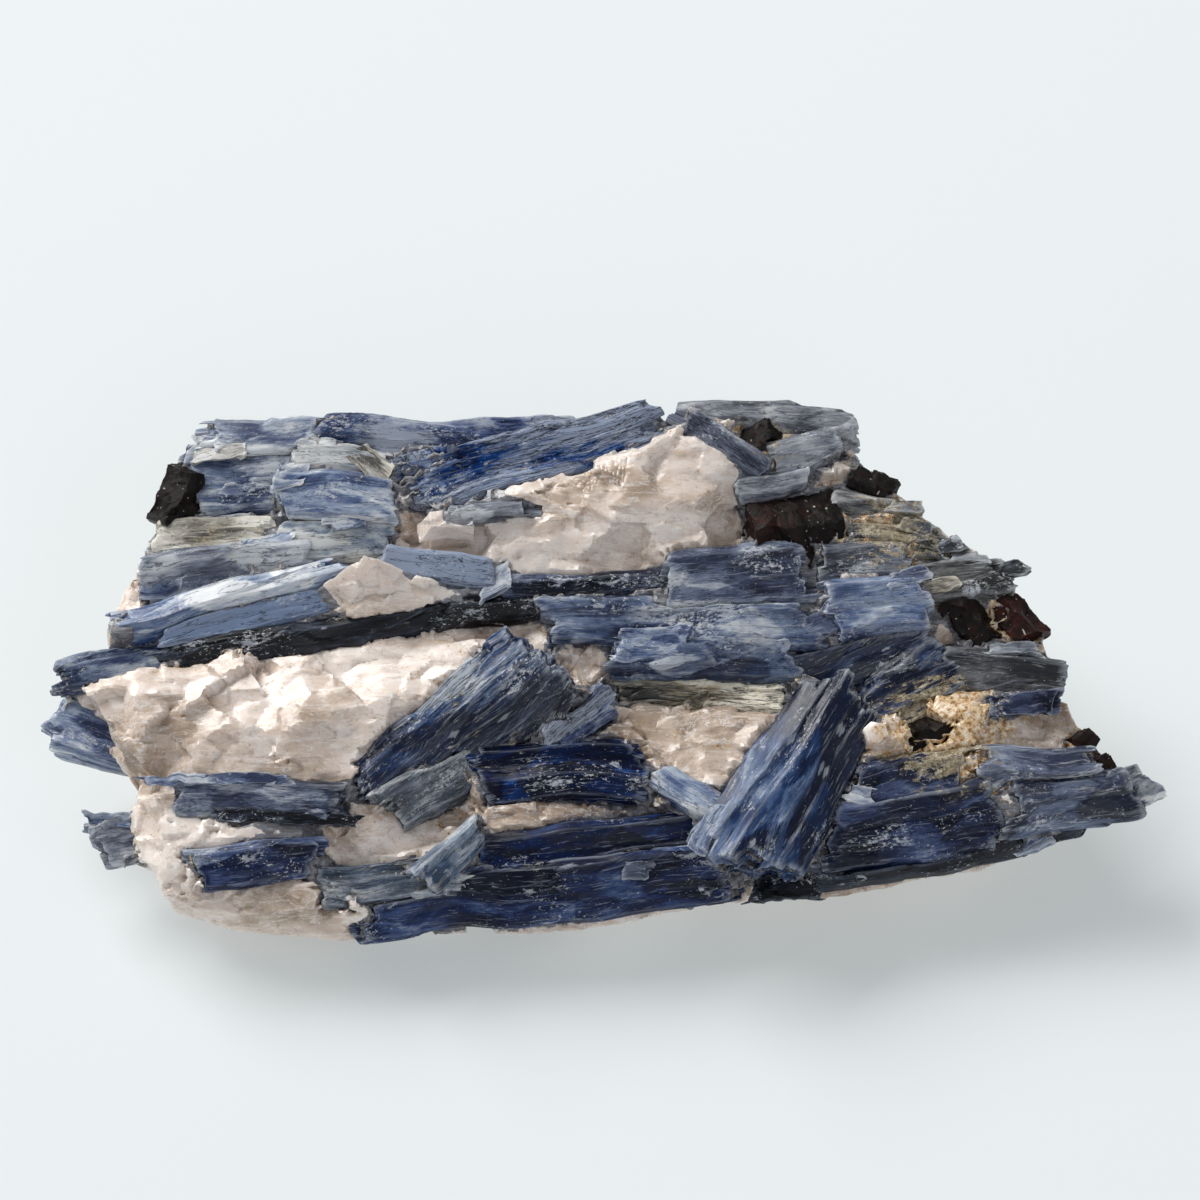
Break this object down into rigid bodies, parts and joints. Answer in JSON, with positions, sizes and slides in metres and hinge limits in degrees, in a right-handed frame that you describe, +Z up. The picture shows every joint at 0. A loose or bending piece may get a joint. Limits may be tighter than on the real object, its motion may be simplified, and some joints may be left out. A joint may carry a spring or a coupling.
{
  "type": "kyanite specimen",
  "caption": "Cabinet mineral specimen: bladed blue kyanite and dark staurolite crystals grown in a lump of milky quartz, with a broken flat base to stand on.",
  "frame": {"origin": "middle of the whole specimen, on the surface that it stands on", "axes": "+X along the length of the blades, to the right of the crystal-covered face; +Y to the back; +Z up"},
  "size_m": [0.1508, 0.0728, 0.0392],
  "materials": {
    "quartz": "milky, glassy broken surfaces",
    "kyanite_ink": "glassy cleavage, nearly black blue",
    "kyanite_deep": "glassy cleavage, deep blue",
    "kyanite_slate": "glassy to pearly cleavage, mid blue",
    "kyanite_pale": "pearly cleavage, pale blue",
    "kyanite_grey": "pearly, grey with fine streaks",
    "kyanite_straw": "fibrous, straw stained",
    "staurolite": "dark brown, half matt with bright flecks"
  },
  "bodies": {
    "root": {"diagonal_bundle": "kyanite_slate", "cross_crystal": "kyanite_slate", "diagonal_side_laths": "kyanite_deep", "right_centre_plate": "kyanite_pale", "front_block": "kyanite_grey", "lilac_splinter": "kyanite_pale", "corner_plate": "kyanite_deep", "quartz_lath": "kyanite_slate", "upper_right_blade": "kyanite_deep", "upper_long_bundle": "kyanite_deep", "centre_upper_plate": "kyanite_slate", "centre_dark_blade": "kyanite_deep", "centre_main_plate": "kyanite_slate", "centre_lower_plate": "kyanite_slate", "fibrous_blade": "kyanite_straw", "long_dark_blade": "kyanite_ink", "left_end_blade": "kyanite_slate", "left_pale_blade": "kyanite_pale", "left_deep_blade": "kyanite_deep", "navy_blades": "kyanite_deep", "grey_fan": "kyanite_grey", "left_thin_laths": "kyanite_slate", "short_deep_blade": "kyanite_deep", "left_protruding_blade": "kyanite_pale", "left_low_laths": "kyanite_slate", "front_upper_blade": "kyanite_deep", "front_grey_laths": "kyanite_grey", "front_long_blade": "kyanite_deep", "right_triangle_plate": "kyanite_deep", "right_front_blade": "kyanite_deep", "front_low_laths": "kyanite_ink", "right_end_blade": "kyanite_slate", "right_pale_laths": "kyanite_pale", "right_upper_plate": "kyanite_slate", "right_grey_blade": "kyanite_slate", "rough_slope_bundle": "kyanite_slate", "right_rim_laths": "kyanite_grey", "right_rim_lobe": "kyanite_grey", "right_back_laths": "kyanite_grey", "pale_step_laths": "kyanite_pale", "back_right_laths": "kyanite_slate", "back_left_blade": "kyanite_pale", "back_deep_blade": "kyanite_deep", "grey_green_plate": "kyanite_grey", "upper_pale_plate": "kyanite_pale", "left_slate_bundle": "kyanite_slate", "left_straw_laths": "kyanite_straw", "grey_middle_laths": "kyanite_grey", "left_blue_laths": "kyanite_slate", "back_wall_blades": "kyanite_slate", "back_wall_pale_blades": "kyanite_pale", "staurolite_centre": "staurolite", "staurolite_left_end": "staurolite", "staurolite_back": "staurolite", "staurolite_rim": "staurolite", "staurolite_right_upper": "staurolite", "staurolite_right_inner": "staurolite", "staurolite_crust": "staurolite", "staurolite_right_end": "staurolite", "quartz_matrix": "quartz"}
  },
  "joints": []
}
